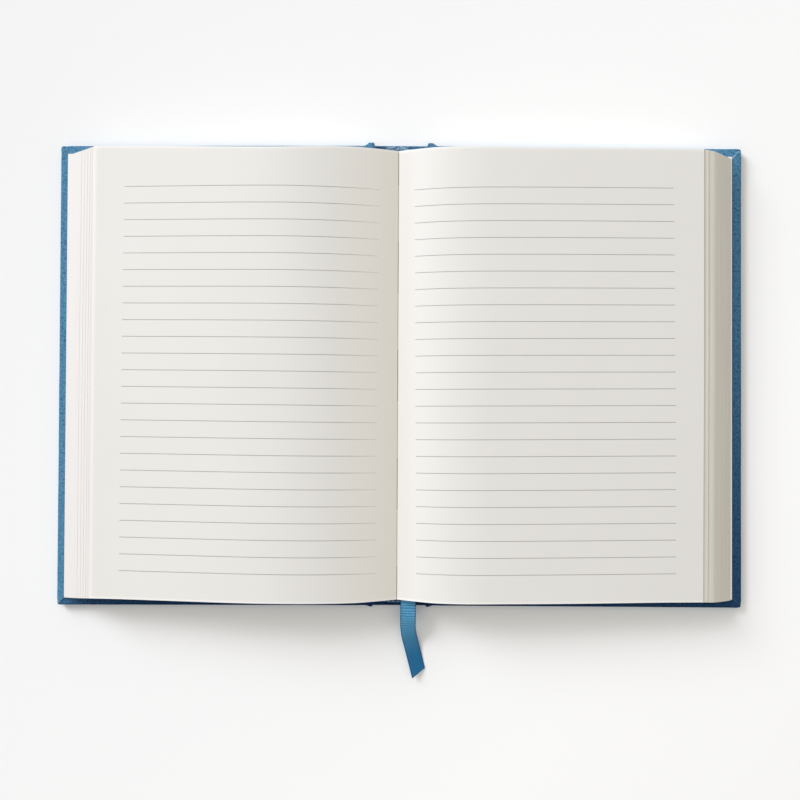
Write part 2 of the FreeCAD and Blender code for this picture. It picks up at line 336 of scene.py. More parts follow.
weaveGroup = makeWeaveGroup()
fibreGroup = makeFibreGroup()
leafEdgeGroup = makeLeafEdgeGroup()


# Finishes

bookCloth = {
    "pitch": 0.42,
    "unevenness": 0.35,
    "warp": (0.070, 0.225, 0.395),
    "weft": (0.105, 0.285, 0.455),
    "gap": (0.012, 0.055, 0.130),
    "paler": (0.17, 0.38, 0.54),
    "cut": (0.50, 0.66, 0.78),
    "tucked": (0.03, 0.07, 0.20),  # painted shade: how much of the colour is left where the turn-ins are painted darkest, in the leaf block's shadow
    "wornFrom": (0.50, 0.70),  # of the mottle
    "darkFrom": (0.47, 0.33),
    "mottle": 0.75,
    "roughness": (0.80, 0.55),  # between the threads and on them
    "specular": 0.06,
    "relief": 0.10,
}


def unrolled(t):
    # Object coordinates unrolled over the boards' edges, so the weave runs round them
    x, y, z = t.split(t.coordinates())
    facingX, facingY, facingZ = t.split(t.coordinates("Normal"))
    u, v = t.timesPlus(facingX, z, x), t.timesPlus(facingY, z, y)
    return t.step("ShaderNodeCombineXYZ", X=u, Y=v, Z=0.0).outputs[0]


def makeBookCloth(look):
    t = Finish("bookCloth")
    place = t.coordinates()
    weave = t.place(weaveGroup, Place=unrolled(t), Pitch=look["pitch"] * mm, Unevenness=look["unevenness"])
    mottle = t.noise(place, 900.0, 3.0, 0.65)
    color = t.mix(weave["Slub"], look["warp"], look["weft"])
    color = t.mix(t.remap(mottle, *look["wornFrom"], 0.0, look["mottle"]), color, look["paler"])
    color = t.mix(t.remap(mottle, *look["darkFrom"], 0.0, look["mottle"]), color, look["gap"])
    color = t.mix(t.times(weave["Gap"], 0.8), color, look["gap"])
    # painted shade: the turn-ins and rolls darkened where the leaf block and the rolls shade them
    color = t.mix(t.mark("tucked"), color, look["tucked"], "MULTIPLY")
    # paler streaks of worn cloth with a painted highlight at the head, and the pale cut edge at the mitres
    streak = t.remap(t.noise(place, (700.0, 1300.0, 700.0), 2.0, turn=0.5), 0.38, 0.60, smooth=True)
    color = t.mix(t.times(t.mark("cutEdge"), streak), color, look["cut"])
    roughness = t.remap(weave["Height"], 0.0, 1.0, *look["roughness"])
    return t.done(color, roughness, look["specular"], weave["Height"], look["relief"], 0.8)


ruledPaper = {
    "paper": (0.800, 0.783, 0.748),
    "shade": (0.776, 0.757, 0.715),
    "fibre": (0.70, 0.66, 0.58),
    # painted shade in the crease of the middle fold, lighter at the sewing holes
    "fold": (0.655, 0.61, 0.535),
    "paintedFoldLight": (0.868, 0.826, 0.742),  # painted light: the front page lighter and warmer beside the fold
    "paintedFoldShade": (0.745, 0.720, 0.690),  # painted shade: the back page darker and cooler beside it
    "paintedFoldLightOver": (2.0, 34.0, 0.75, 0.0),  # two distances from the fold, and how much painted light the page has there
    "paintedFoldShadeOver": (2.0, 11.0, 0.8, 0.0),
    "paintedEndHighlight": (0.93, 0.92, 0.90),  # painted highlight along the ends of the top leaves
    "paintedEndHighlightShare": 0.6,
    "ink": (0.30, 0.295, 0.285),
    "lineCount": 24,
    "pitch": 7.725,
    "firstLine": 86.07,  # above the middle of the page, at the gutter
    "lineWidth": 0.30,
    "ends": ((9.7, 8.5), (128.9, 128.8)),  # of the lines, from the fold: inner and outer, front and back page
    "lean": (-0.0045, -0.009),  # how the ends move out per length towards the foot
    "foldHalf": 0.30,
    "holes": (88.1, 63.1, 37.7, 12.7, -12.7, -37.7, -63.1, -88.1),  # where the sewing passes through the fold
    "holeRound": (0.3, 0.8),
    "turn": 0.0070,  # rise of a line per length, outer ends towards the head
}


def makeRuledPaper(look):
    t = Finish("ruledPaper")
    u, v, w = t.split(t.surface("leafPlan"))
    distance = t.absolute(u)
    front = t.calc("LESS_THAN", u, 0.0)
    back = t.calc("GREATER_THAN", u, 0.0)
    pitch, half, foldHalf = look["pitch"] * mm, look["lineWidth"] * mm / 2, look["foldHalf"] * mm
    level = t.timesPlus(distance, -look["turn"], v)
    row = t.over(t.minus(look["firstLine"] * mm, level), pitch)
    nearest = t.calc("ROUND", row)
    line = t.remap(t.times(t.absolute(t.minus(row, nearest)), pitch), half * 0.7, half * 1.3, 1.0, 0.0)
    line = t.times(line, t.calc("GREATER_THAN", nearest, -0.5))
    line = t.times(line, t.calc("LESS_THAN", nearest, look["lineCount"] - 0.5))
    reach = t.minus(distance, t.times(v, t.remap(back, 0.0, 1.0, *look["lean"])))
    for test, ends in zip(("GREATER_THAN", "LESS_THAN"), look["ends"]):
        end = t.remap(back, 0.0, 1.0, *[value * mm for value in ends])
        line = t.times(line, t.calc(test, reach, end))
    grain = t.place(fibreGroup, Place=t.coordinates())
    color = t.mix(t.remap(grain["Cloud"], 0.3, 0.75, 0.0, 0.5), look["paper"], look["shade"])
    color = t.mix(t.remap(grain["Fibre"], 0.55, 0.8, 0.0, 0.10), color, look["fibre"])
    color = t.mix(t.times(line, t.remap(grain["Tooth"], 0.3, 0.7, 0.75, 1.0)), color, look["ink"])
    # painted light on the front page beside the fold, and painted shade on the back page beside it
    for tone, page in (("paintedFoldLight", front), ("paintedFoldShade", back)):
        start, stop, most, least = look[tone + "Over"]
        near = t.remap(distance, start * mm, stop * mm, most, least, smooth=True)
        color = t.mix(t.times(near, page), color, look[tone])
    # painted shade in the crease, let off at the sewing holes
    fold = t.remap(distance, foldHalf * 0.6, foldHalf * 1.5, 1.0, 0.0, smooth=True)
    for hole in look["holes"]:
        away = t.absolute(t.minus(v, hole * mm))
        fold = t.times(fold, t.remap(away, *[value * mm for value in look["holeRound"]], 0.15, 1.0, smooth=True))
    color = t.mix(fold, color, look["fold"])
    # painted highlight along the ends of the top leaves
    color = t.mix(t.times(t.mark("leafEnd"), look["paintedEndHighlightShare"]), color, look["paintedEndHighlight"])
    roughness = t.remap(grain["Tooth"], 0.2, 0.8, 0.78, 0.92)
    return t.done(color, roughness, 0.25, t.timesPlus(grain["Fibre"], 0.5, grain["Tooth"]), 0.02, 0.5)


leafEdgeLook = {
    "frontFrom": (-0.1435, -0.1425),  # metres: where the front half's fore-edge begins; its edges are painted darker and greyer against the key light on them, the back half's lighter and warmer in their shade
    "light": ((0.885, 0.850, 0.755), (0.700, 0.672, 0.655)),
    "dark": ((0.790, 0.760, 0.680), (0.665, 0.638, 0.620)),
    "section": (0.60, 0.57, 0.52),
}


def makeLeafEdges(look):
    t = Finish("leafEdges")
    edges = t.place(leafEdgeGroup, Place=t.surface("leafPlan"))
    x, y, z = t.split(t.coordinates())
    # painted shade on the front half's lit edges, painted light on the back half's shaded ones
    front = t.remap(x, *look["frontFrom"], 1.0, 0.0)
    color = t.mix(edges["Line"], t.mix(front, *look["dark"]), t.mix(front, *look["light"]))
    color = t.mix(t.times(edges["Section"], 0.20), color, look["section"])
    return t.done(color, 0.85, 0.25, edges["Line"], 0.03, 0.5)


endpaperLook = {"paper": (0.88, 0.87, 0.84), "cloud": (0.83, 0.815, 0.775), "fibre": (0.68, 0.64, 0.57)}


def makeEndpaper(look):
    t = Finish("endpaper")
    grain = t.place(fibreGroup, Place=t.coordinates())
    color = t.mix(grain["Cloud"], look["paper"], look["cloud"])
    color = t.mix(t.remap(grain["Fibre"], 0.55, 0.8, 0.0, 0.15), color, look["fibre"])
    return t.done(color, t.remap(grain["Tooth"], 0.2, 0.8, 0.75, 0.9), 0.3, grain["Tooth"], 0.02, 0.6)


boardLook = {"dark": (0.34, 0.32, 0.29), "light": (0.50, 0.48, 0.44), "fleck": (0.20, 0.19, 0.18)}


def makeGreyBoard(look):
    t = Finish("greyBoard")
    grain = t.place(fibreGroup, Place=t.coordinates())
    color = t.mix(grain["Fibre"], look["dark"], look["light"])
    flecks = t.remap(t.noise(t.coordinates(), 1500.0, 1.0), 0.66, 0.72)
    return t.done(t.mix(flecks, color, look["fleck"]), 0.92, 0.5, grain["Fibre"], 0.08, 0.7)


mullLook = {"pitch": 1.1, "gap": (0.42, 0.38, 0.30), "yarn": (0.80, 0.77, 0.70)}


def makeMull(look):
    # Stiffened open cotton weave over the back of the leaves
    t = Finish("mull")
    height = t.place(weaveGroup, Place=t.coordinates(), Pitch=look["pitch"] * mm, Unevenness=0.5)["Height"]
    return t.done(t.mix(height, look["gap"], look["yarn"]), 0.9, 0.5, height, 0.12, 0.9)


silkLook = {  # each tone between two colours
    "dark": ((0.030, 0.085, 0.190), (0.075, 0.17, 0.31)),
    "pale": ((0.10, 0.19, 0.34), (0.22, 0.34, 0.50)),
}


def makeBandSilk(look):
    t = Finish("bandThread")
    grain = t.noise(t.coordinates(), (3000.0, 700.0, 700.0), 2.0)
    color = t.mix(t.mark("threadTone"), t.mix(grain, *look["dark"]), t.mix(grain, *look["pale"]))
    return t.done(color, t.remap(grain, 0.3, 0.7, 0.6, 0.42), 0.3, grain, 0.03, 0.6)


threadLook = {"twist": 0.6, "dark": (0.66, 0.62, 0.54), "light": (0.90, 0.88, 0.83)}


def makeThread(look):
    t = Finish("sewingThread")
    x, y, z = t.split(t.coordinates())
    twist = t.calc("SINE", t.times(t.timesPlus(x, 1.5, y), 2 * math.pi / (look["twist"] * mm)))
    return t.done(t.mix(t.remap(twist, -1.0, 1.0), look["dark"], look["light"]), 0.7, 0.5, twist, 0.05, 0.8)


ribbonLook = {
    "base": (0.098, 0.365, 0.610),
    "bright": (0.19, 0.50, 0.72),
    "dark": (0.006, 0.070, 0.190),
    "light": (0.50, 0.70, 0.85),
    "paintedTailShade": (0.004, 0.110, 0.275),
    "ribPitch": 1.30,
    "yarnPitch": 0.28,
    "flatFrom": (228.0, 247.0),  # along the ribbon: from here on the ribs are pressed flat
    "paintedTailShadeFrom": (232.0, 257.0),  # and from here on shade is painted on, darker by up to this share
    "paintedTailShadeShare": 0.84,
    "selvedge": (0.55, 0.2),
}


def makeRibbonCloth(look, width):
    # UV: u from one selvedge to the other, v along the ribbon, both in metres
    t = Finish("ribbonCloth")
    place = t.surface("ribbonRun")
    u, v, w = t.split(place)
    wander = t.times(t.noise(place, (700.0, 900.0, 0.0), 2.0), 0.5)
    rib = t.ribs(t.plus(t.over(v, look["ribPitch"] * mm), wander))
    ribbed = t.remap(v, *[value * mm for value in look["flatFrom"]], 1.0, 0.25, smooth=True)
    rib = t.remap(ribbed, 0.0, 1.0, 0.9, rib)
    yarn = t.ribs(t.over(u, look["yarnPitch"] * mm))
    color = t.mix(t.remap(rib, 0.05, 0.75), look["dark"], look["base"])
    color = t.mix(t.times(yarn, 0.25), color, look["bright"])
    fleck = t.noise(place, (2600.0, 1300.0, 0.0), 2.0)
    color = t.mix(t.remap(fleck, 0.70, 0.76, 0.0, 0.6), color, look["light"])
    # painted shade towards the ribbon's tail
    paintedTailShade = t.remap(v, *[value * mm for value in look["paintedTailShadeFrom"]], 0.0, look["paintedTailShadeShare"], smooth=True)
    color = t.mix(paintedTailShade, color, look["paintedTailShade"])
    selvedge = [(width / 2 - value) * mm for value in look["selvedge"]]
    color = t.mix(t.remap(t.absolute(u), *selvedge, 0.0, 0.9, smooth=True), color, look["dark"])
    return t.done(color, t.remap(rib, 0.0, 1.0, 0.65, 0.38), 0.12, t.timesPlus(yarn, 0.2, rib), 0.20)


finishes = {
    "bookCloth": makeBookCloth(bookCloth),
    "ruledPaper": makeRuledPaper(ruledPaper),
    "leafEdges": makeLeafEdges(leafEdgeLook),
    "endpaper": makeEndpaper(endpaperLook),
    "greyBoard": makeGreyBoard(boardLook),
    "mull": makeMull(mullLook),
    "bandThread": makeBandSilk(silkLook),
    "sewingThread": makeThread(threadLook),
}
print("finishes made")


# Mesh helpers

def makePiece(name, mesh, finishNames, body, node=None):
    piece = addObject(name, mesh)
    for finish in finishNames:
        mesh.materials.append(finishes[finish])
    if body:
        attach(piece, body)
    if node:
        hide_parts(node)
    return piece


def closeMesh(name, body, mesh=None):
    # Turns what a bmesh holds into a mesh
    mesh = mesh or bpy.data.meshes.new(name)
    body.to_mesh(mesh)
    body.free()
    return mesh


def smoothFaces(mesh, angle=40.0):
    mesh.polygons.foreach_set("use_smooth", [True] * len(mesh.polygons))
    mesh.update()
    sharp = bmesh.new()
    sharp.from_mesh(mesh)
    for edge in sharp.edges:
        edge.smooth = len(edge.link_faces) == 2 and edge.calc_face_angle(0.0) < math.radians(angle)
    closeMesh(mesh.name, sharp, mesh)


def bakeModifier(name, base, kind, settings, values=None):
    # The plain mesh that a modifier makes of a base mesh; values go to the inputs of its node tree
    draft = addObject(name + "Draft", base)
    modifier = draft.modifiers.new(kind.lower(), kind)
    for key, value in settings.items():
        setattr(modifier, key, value)
    for item in modifier.node_group.interface.items_tree if values else []:
        if item.item_type == "SOCKET" and item.in_out == "INPUT" and item.name in values:
            modifier[item.identifier] = values[item.name]
    bpy.context.view_layer.update()
    mesh = bpy.data.meshes.new_from_object(draft.evaluated_get(bpy.context.evaluated_depsgraph_get()))
    bpy.data.objects.remove(draft)
    bpy.data.meshes.remove(base)
    mesh.name = name
    return mesh


def addFace(body, layer, corners, spots, slot=0):
    # One face with its places on the UV map; corners that are the same vertex count once
    kept = {}
    for corner, spot in zip(corners, spots):
        kept.setdefault(corner, spot)
    if len(kept) > 2:
        face = body.faces.new(list(kept))
        face.material_index = slot
        for loop, spot in zip(face.loops, kept.values()):
            loop[layer].uv = spot


def pathLengths(points):
    lengths = [0.0]
    for a, b in zip(points, points[1:]):
        lengths.append(lengths[-1] + (b - a).length)
    return lengths


def resample(points, shares):
    # Points at the given shares of a polyline's length
    lengths = pathLengths(points)
    result = []
    index = 0
    for share in shares:
        wanted = share * lengths[-1]
        while index < len(points) - 2 and lengths[index + 1] < wanted:
            index += 1
        run = lengths[index + 1] - lengths[index]
        t = 0.0 if run == 0 else (wanted - lengths[index]) / run
        result.append(points[index].lerp(points[index + 1], t))
    result[0], result[-1] = points[0].copy(), points[-1].copy()
    return result, lengths[-1]


def eased(value, start, end):
    t = min(1.0, max(0.0, (value - start) / (end - start)))
    return t * t * (3 - 2 * t)


def along(pairs, at):
    # The value at a place on a line of (place, value) pairs
    if at <= pairs[0][0]:
        return pairs[0][1]
    for (a, low), (b, high) in zip(pairs, pairs[1:]):
        if at <= b:
            return low + (high - low) * (at - a) / (b - a)
    return pairs[-1][1]


# Ribbon marker: the one free cord

ribbon = {
    "width": 7.2,
    "thickness": 0.35,
    "length": 264.8,
    "route": [
        (4.2, 95.275, 4.475), (4.2, 106.675, 4.475), (4.2, 106.675, 8.375),
        (4.2, 102.775, 8.375), (4.2, -103.2, 8.375), (4.2, -112.0, 8.375),
        (4.2, -120.5, 4.50), (6.55, -130.0, 0.175), (9.35, -141.1, 0.175),
    ],
    "step": 0.45,
    "columns": 12,
    "leanAtFoot": -9.0,  # degrees, left selvedge lower where it leaves the pages, and higher at the end
    "leanAtEnd": 19.0,
    "footAt": 108.0,
    "leanOver": 34.0,
    "cutAngle": -20.0,
    "cutOver": 10.0,
}


def followRoute(points):
    # The smooth line that the ribbon follows, as a list of points
    curve = bpy.data.curves.new("ribbonRoute", "CURVE")
    curve.dimensions = "3D"
    curve.resolution_u = 24
    spline = curve.splines.new("NURBS")
    spline.points.add(len(points) - 1)
    for point, place in zip(spline.points, points):
        point.co = tuple(value * mm for value in place) + (1.0,)
    spline.order_u = 3
    spline.use_endpoint_u = True
    route = addObject("ribbonRoute", curve)
    bpy.context.view_layer.update()
    mesh = bpy.data.meshes.new_from_object(route)
    line = [vertex.co.copy() for vertex in mesh.vertices]
    bpy.data.objects.remove(route)
    bpy.data.curves.remove(curve)
    bpy.data.meshes.remove(mesh)
    return line


def ribbonRings(line, length, size):
    # Rows of (place, up, place on the UV map) across the ribbon
    half = size["width"] * mm / 2
    slant = math.tan(math.radians(size["cutAngle"]))
    rings = []
    run = 0.0
    for i, point in enumerate(line):
        ahead = (line[min(i + 1, len(line) - 1)] - line[max(i - 1, 0)]).normalized()
        side = Vector((0.0, 0.0, 1.0)).cross(ahead)
        if side.length < 0.05:
            side = Vector((-1.0, 0.0, 0.0))
        side.z = 0.0
        side.normalize()
        if side.x > 0:
            side.negate()
        up = side.cross(ahead).normalized()
        if up.z < -0.001:
            up.negate()
        outside = (-point.y / mm - size["footAt"]) / size["leanOver"]
        if outside > 0.0:
            share = min(1.0, outside)
            lean = size["leanAtFoot"] + (size["leanAtEnd"] - size["leanAtFoot"]) * share
            lean = math.radians(lean) * min(1.0, outside * 6.0)
            side = Quaternion(ahead, -lean) @ side
            up = side.cross(ahead).normalized()
            if up.z < 0:
                up.negate()
            point = point + Vector((0.0, 0.0, abs(math.sin(lean)) * half * share))
        if i:
            run += (line[i] - line[i - 1]).length
        nearEnd = max(0.0, 1.0 - (length - run) / (size["cutOver"] * mm))
        ring = []
        for j in range(size["columns"] + 1):
            offset = (2.0 * j / size["columns"] - 1.0) * half
            reach = offset * slant * nearEnd
            ring.append((point - side * offset + ahead * reach, up, (offset, run + reach)))
        rings.append(ring)
    return rings


def makeRibbon(size):
    line = followRoute(size["route"])
    count = int(pathLengths(line)[-1] / (size["step"] * mm))
    line, length = resample(line, [i / count for i in range(count + 1)])
    rings = ribbonRings(line, length, size)
    body = bmesh.new()
    layer = body.loops.layers.uv.new("ribbonRun")
    half = size["thickness"] * mm / 2
    top, low = [[[body.verts.new(place + up * lift) for place, up, spot in ring] for ring in rings]
                for lift in (half, -half)]

    def skin(*corners):
        spots = [rings[i][j][2] for sheet, i, j in corners]
        addFace(body, layer, [sheet[i][j] for sheet, i, j in corners], spots)

    for i in range(count):
        for j in range(size["columns"]):
            skin((top, i, j), (top, i, j + 1), (top, i + 1, j + 1), (top, i + 1, j))
            skin((low, i + 1, j), (low, i + 1, j + 1), (low, i, j + 1), (low, i, j))
        for j in (0, size["columns"]):
            skin((top, i, j), (top, i + 1, j), (low, i + 1, j), (low, i, j))
    for i in (0, count):
        for j in range(size["columns"]):
            skin((top, i, j), (low, i, j), (low, i, j + 1), (top, i, j + 1))
    bmesh.ops.recalc_face_normals(body, faces=body.faces)
    mesh = closeMesh("ribbonMarker", body)
    smoothFaces(mesh)
    finishes["ribbonCloth"] = makeRibbonCloth(ribbonLook, size["width"])
    piece = makePiece("ribbonMarker", mesh, ["ribbonCloth"], "text_block", "ribbon_marker")


makeRibbon(ribbon)
print("ribbon made")


# The leaves, as one block

leaves = {
    "halfHeight": 105.0,
    "gutter": (-1.1, 9.9),
    "bottom": 3.85,
    "backHalf": 10.4,
    "archRise": 2.85,
    "archShare": 0.7,  # of the leaves: those that end in the arched back
    "creaseHalf": 0.24,
    "creaseDepth": 0.45,
    "pageLength": 165.0,
    "columns": 120,
    "stations": 44,
    "ripple": 0.12,
    "edgeHigh": 12.0,  # height of the cut edges on the UV map
    "marks": (0.0, 0.13, 0.40, 1.0),  # shares of the way to the fore-edge that the trims below are given for
}

leftLeaves = {
    "side": -1,
    "shear": (0.0, 0.45),  # how far the fore-edge stands to the back half's side, at the foot and at the head
    "rise": [(-1.1, 9.9), (-14.1, 14.1), (-31.1, 17.9), (-53.1, 17.9)],
    "fall": [(-53.1, 17.9), (-78.1, 17.9), (-118.0, 13.125), (-143.0, 12.0)],
    "foreEdge": [
        (-158.4, 3.85), (-154.4, 5.98), (-150.65, 7.95), (-150.45, 7.92), (-150.3, 8.14), (-148.75, 8.97),
        (-148.55, 8.93), (-148.4, 9.14), (-147.1, 9.83), (-146.9, 9.79), (-146.75, 10.01), (-145.6, 10.62),
        (-145.4, 10.58), (-145.25, 10.81), (-144.3, 11.28), (-144.1, 11.26), (-143.9, 11.55), (-143.0, 12.0),
    ],
    # how far the top leaf and the lowest one stand from the trim line, towards the head
    "topHead": (0.00, 0.28, -0.75, 1.0),
    "topFoot": (0.87, 0.33, 0.58, 1.2),
    "lowHead": -0.57,
    "lowFoot": -0.33,
}

rightLeaves = {
    "side": 1,
    "shear": (-0.4, 0.0),
    "rise": [(-1.1, 9.9), (10.9, 13.8), (20.4, 16.9), (40.9, 16.9)],
    "fall": [(40.9, 16.9), (65.9, 16.9), (115.3, 14.825), (140.2, 13.7)],
    "foreEdge": [
        (156.9, 3.85), (156.5, 4.10), (153.7, 6.30), (149.9, 9.15), (146.6, 11.40),
        (145.4, 12.12), (142.8, 12.42), (142.65, 12.55), (142.6, 12.92), (142.3, 12.98),
        (140.5, 13.12), (140.35, 13.2), (140.3, 13.6), (140.2, 13.7),
    ],
    "topHead": (0.00, 0.32, -0.10, 0.4),
    "topFoot": (0.87, 0.35, 0.65, 1.2),
    "lowHead": -0.95,
    "lowFoot": -0.37,
}


def flat(point):
    return Vector((point[0] * mm, 0.0, point[1] * mm))


def archCircle(size):
    # Radius of the arched back of the leaves, and how high its centre lies
    radius = (size["backHalf"] ** 2 + size["archRise"] ** 2) / (2 * size["archRise"])
    return radius, size["bottom"] + size["archRise"] - radius


def archRow(reach, offset, y, count):
    # Points side by side on the arched back of the leaves, or at an offset from it
    radius, centre = archCircle(leaves)
    full = math.asin(reach / radius)
    radius += offset
    angles = [-full + 2 * full * i / count for i in range(count + 1)]
    return [Vector((radius * math.sin(a), y, centre + radius * math.cos(a))) * mm for a in angles]


def topLine(half):
    points = []
    for poles, count in ((half["rise"], 150), (half["fall"], 151)):
        a, b, c, d = [flat(pole) for pole in poles]
        for i in range(count):
            t = i / 150
            s = 1.0 - t
            points.append(a * s ** 3 + b * (3 * s * s * t) + c * (3 * s * t * t) + d * t ** 3)
    return points


def spinePoint(level, side, size):
    # Where a leaf begins: on the arched back, or above it in the gutter
    radius, centre = archCircle(size)
    full = math.asin(size["backHalf"] / radius)
    gutterX, gutterZ = size["gutter"]
    stop = math.copysign(math.asin(abs(gutterX) / radius), gutterX * side)
    share = size["archShare"]
    if level < share:
        angle = side * (full + (stop - full) * level / share)
        return flat((radius * math.sin(angle), centre + radius * math.cos(angle)))
    archTop = centre + radius * math.cos(stop)
    creaseFoot = gutterZ - size["creaseDepth"]
    return flat((gutterX, archTop + (creaseFoot - archTop) * (level - share) / (1.0 - share)))


def pageSpots(half, size):
    # Rows from the lowest leaf to the top one, columns from the spine to the fore-edge
    columns = size["columns"]
    side = half["side"]
    shares = [0.45 * i / columns + 0.55 * (i / columns) ** 1.7 for i in range(columns + 1)]
    shares.insert(1, size["creaseHalf"] / size["pageLength"])
    top, topLength = resample(topLine(half), shares)
    top[0].z -= size["creaseDepth"] * mm
    edge = [flat(point) for point in half["foreEdge"]]
    bottomStart = flat((side * size["backHalf"], size["bottom"]))
    bottom = [bottomStart.lerp(edge[0], share) for share in shares]
    lengths = pathLengths(edge)
    levels = [length / lengths[-1] for length in lengths]
    rows = []
    for level, end in zip(levels, edge):
        start = spinePoint(level, side, size)
        row = []
        for share, low, high in zip(shares, bottom, top):
            corner = bottomStart.lerp(edge[0], share).lerp(top[0].lerp(top[-1], share), level)
            row.append(low.lerp(high, level) + start.lerp(end, share) - corner)
        rows.append(row)
    rows[0], rows[-1] = bottom, top
    return rows, shares, levels, topLength


def leafMark(values, share):
    places = leaves["marks"]
    for i in range(3):
        if share <= places[i + 1]:
            t = (share - places[i]) / (places[i + 1] - places[i])
            return values[i] + (values[i + 1] - values[i]) * (t if i == 0 else t * t * (3 - 2 * t))
    return values[-1]


def leafEnd(half, end, share, level):
    # y of the foot or of the head of a leaf, in metres
    middle = leaves["halfHeight"] * (1 if end == "Head" else -1)
    top = level ** 1.25 * leafMark(half["top" + end], share)
    return (middle + top + (1 - level) * share * half["low" + end]) * mm


def makeHalf(half, stations, body, layer, endLayer, known, size):
    rows, shares, levels, topLength = pageSpots(half, size)
    side = half["side"]
    last, far = len(levels) - 1, len(shares) - 1
    high = [level * size["edgeHigh"] * mm for level in levels]

    def place(i, j, share):
        spot = rows[i][j].copy()
        foot, head = [leafEnd(half, end, shares[j], levels[i]) for end in ("Foot", "Head")]
        spot.y = foot + (head - foot) * share
        spot.x += half["shear"][1 if share > 0.5 else 0] * abs(2 * share - 1) * shares[j] * mm
        if i == last and 0 < j < far:
            fade = math.sin(math.pi * shares[j]) ** 0.5
            spot.z += size["ripple"] * mm * fade * noise.noise(Vector((spot.x * 28, spot.y * 16, side * 3.0)))
        return spot

    def vertex(spot):
        key = tuple(round(value * 1e7) for value in spot)
        if key not in known:
            known[key] = body.verts.new(spot)
        return known[key]

    def skin(ring, slot, mapped):
        # ring: (row, column, share of the height); mapped: its place on the UV map
        places = [place(*corner) for corner in ring]
        spots = [mapped(corner, spot) for corner, spot in zip(ring, places)]
        addFace(body, layer, [vertex(spot) for spot in places], spots, slot)

    for share in (0.0, 1.0):
        for i in range(last):
            for j in range(far):
                skin([(i, j, share), (i, j + 1, share), (i + 1, j + 1, share), (i + 1, j, share)], 1,
                     lambda c, p: (shares[c[1]] * topLength, high[c[0]] * (0.7 + 0.3 * shares[c[1]])))
    for k, (a, b) in enumerate(zip(stations, stations[1:])):
        for j in range(far):
            for i, slot, sign in ((last, 0, side), (0, 1, 1)):
                skin([(i, j, a), (i, j + 1, a), (i, j + 1, b), (i, j, b)], slot,
                     lambda c, p: (sign * shares[c[1]] * topLength, p.y))
        for station in {0, 1, len(stations) - 2, len(stations) - 1} & {k, k + 1}:
            for j in range(far + 1):
                vertex(place(last, j, stations[station]))[endLayer] = 1.0
        for i in range(last):
            for j in (far, 0):
                if j or levels[i + 1] <= size["archShare"] + 0.00001:
                    skin([(i, j, a), (i, j, b), (i + 1, j, b), (i + 1, j, a)], 1,
                         lambda c, p: (p.y, high[c[0]]))


def makeLeaves(size):
    body = bmesh.new()
    layer = body.loops.layers.uv.new("leafPlan")
    endLayer = body.verts.layers.float.new("leafEnd")
    waves = [math.cos(math.pi * i / size["stations"]) for i in range(size["stations"] + 1)]
    stations = [0.5 - 0.5 * wave * (0.35 * abs(wave) + 0.65) for wave in waves]
    known = {}
    for half in (leftLeaves, rightLeaves):
        makeHalf(half, stations, body, layer, endLayer, known, size)
    bmesh.ops.recalc_face_normals(body, faces=body.faces)
    print("leaves: open edges", sum(1 for edge in body.edges if len(edge.link_faces) != 2))
    mesh = closeMesh("leafBlock", body)
    smoothFaces(mesh, 25.0)
    makePiece("leafBlock", mesh, ["ruledPaper", "leafEdges"], "text_block", "pages")


makeLeaves(leaves)
print("leaves made")


# Book cloth over the case: one sheet in three bodies, joined in the two joints

caseCloth = {
    "thickness": 0.4,
    "halfCase": 109.0,
    "foreEdge": 162.0,
    "turnIn": (14.4, 12.0, 9.0, 7.0, 5.6, 4.6, 3.8, 3.1, 2.5, 2.0, 1.5),  # insets of its rows, from its rim
    "underside": (1.3, 3.0, 6.0, 10.0, 15.0),  # and of the rows below
    "spineTop": 2.8,
    "coverTop": 3.3,
    "foldLevel": 0.85,  # the turned-in cloth between the boards
    "spineEnd": 12.0,
    "coverStart": 18.6,
    "spineColumns": 24,
    "jointColumns": 22,
    "blendFrom": 12.4,  # the part of a joint that bends
    "blendTo": 16.6,
    "edgeRound": 0.55,
    "cornerRound": 1.0,
    "cornerSteps": 9,
    "levelX": 136.0,  # where the rows stop being regular, on the way to a corner
    "levelY": 80.0,
    "rollOut": (1.85, 1.10),  # the roll of cloth at each end of a joint, at the head and at the foot
    "rollTaper": ((14.9, 18.4), (12.8, 18.4)),
    "headSpring": 0.95,  # how much nearer the head the case stands at the spine than at the corners
    "footSpring": 0.38,
    "mitreLift": 0.30,  # the fore-edge turn-in lies over the others
    "mitreLap": 0.245,
    "waver": 0.05,
    "cornerWaver": 0.30,
    "rollWaver": 0.22,
    "rollShade": 0.8,
    "mitreCut": {(1, 1): 1.0, (-1, 1): 0.15, (-1, -1): 0.25, (1, -1): 0.08},  # pale cut edge at each corner
    "turnInY": 93.0,  # the turn-ins lie outside these
    "turnInX": 146.0,
    "paintedTurnInShade": {  # painted shade on the turn-ins, darkest where the leaf block shades them: (place, share)
        "head": [(-12.7, 0.0), (-12.2, 0.85), (-10.5, 0.82), (-5.5, 0.5),
                 (4.5, 0.5), (6.0, 0.35), (13, 0.15), (162, 0.0)],
        "foot": [(-162, 0.15), (-158.5, 0.55), (-155, 0.45), (-150, 0.75),
                 (-120, 0.9), (40, 0.95), (120, 0.85), (162, 0.8)],
        "fore": [(-109, 0.80), (-60, 0.66), (20, 0.36), (88, 0.28), (98, 0.06), (109, 0.0)],
    },
    "headStreaks": (-6.3, 3.3, 0.6),  # worn cloth between the rolls, paler with a painted highlight where it faces up: from, to and how much
    "streaksFrom": 106.4,
    "jointFold": (12.1, 12.9, 16.2, 17.2),  # where the turn-ins drop into a joint and where they come out of it
    "foldOver": (1.4, 4.4),  # insets over which they drop
    "boardStep": (15.8, 17.3),  # from the spine's level to the covers'
    "rollStart": (12.1, 13.2),
    "rollPower": 0.7,
    "rollDark": (12.9, 14.1),
    "lapOver": (0.8, 2.2),  # insets over which the mitres lap, rise and come down again
    "liftOver": (0.4, 1.4),
    "liftEnd": (2.4, 3.8),
    "cornerOver": (1.0, 7.0),
}


